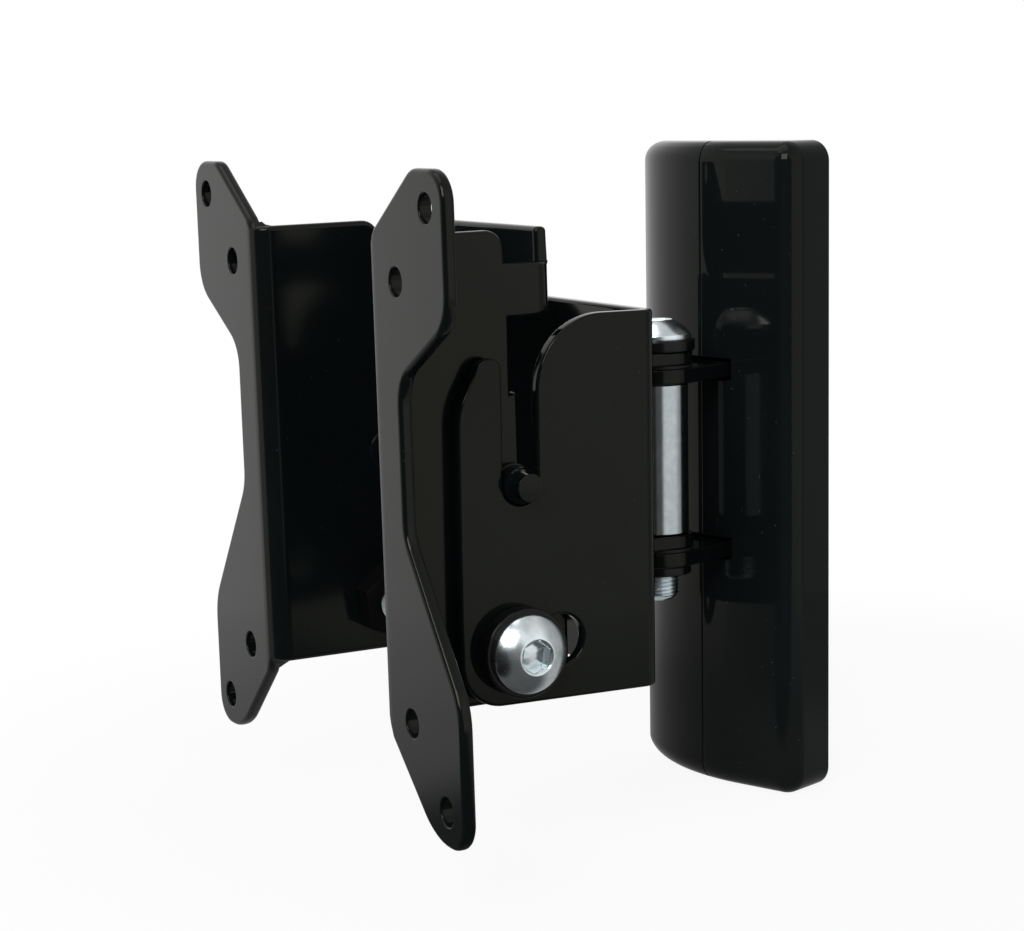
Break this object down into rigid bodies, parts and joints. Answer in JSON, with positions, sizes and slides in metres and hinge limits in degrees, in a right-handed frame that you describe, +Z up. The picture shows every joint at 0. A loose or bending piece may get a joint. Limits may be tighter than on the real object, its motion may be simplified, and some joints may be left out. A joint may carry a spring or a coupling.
{
  "type": "tilt and swivel screen wall mount",
  "caption": "Small wall mount for a flat screen: a flanged folded bracket hooked on a swivelling arm, tilt clamp bolts, an upright swivel bolt in a sleeve and a glossy split wall cover.",
  "frame": {"origin": "centre of the wall plate's back face, against the wall", "axes": "+Y into the wall, +Z up, +X to the right seen from the front"},
  "size_m": [0.1064, 0.1144, 0.1276],
  "materials": {
    "satin_steel": "satin black powder coat with a fine texture",
    "black_steel": "glossy black powder coat",
    "gloss_cover": "polished black moulding",
    "zinc": "bright zinc plate",
    "black_hardware": "black plated steel",
    "nylon": "black nylon"
  },
  "bodies": {
    "wall": {"wall_plate": "black_steel", "wall_yoke": "black_steel", "cover_left": "gloss_cover", "cover_right": "gloss_cover", "swivel_bolt": "zinc", "swivel_head_washer": "black_hardware", "friction_washer_upper": "nylon", "friction_washer_lower": "nylon", "swivel_sleeve": "zinc", "swivel_nut": "black_hardware"},
    "swivel": {"swivel_bracket": "black_steel", "swivel_yoke": "black_steel"},
    "screen": {"screen_bracket": "satin_steel", "pivot_stud_right": "black_hardware", "pivot_stud_left": "black_hardware", "clamp_bolt_right": "zinc", "clamp_bolt_left": "zinc", "clamp_washer_right": "black_hardware", "clamp_washer_left": "black_hardware", "tilt_washer_right": "nylon", "tilt_washer_left": "nylon", "clamp_nut_right": "zinc", "clamp_nut_left": "zinc"}
  },
  "joints": [
    {"name": "swivel", "type": "hinge", "parent": "wall", "child": "swivel", "pos_m": [0, -0.0266, 0.0057], "axis": [0, 0, 1], "range_deg": [-23, 67]},
    {"name": "tilt", "type": "hinge", "parent": "swivel", "child": "screen", "pos_m": [-0.01704, -0.06879, 0.0057], "axis": [0.9272, -0.3746, 0], "range_deg": [-6, 17]}
  ]
}
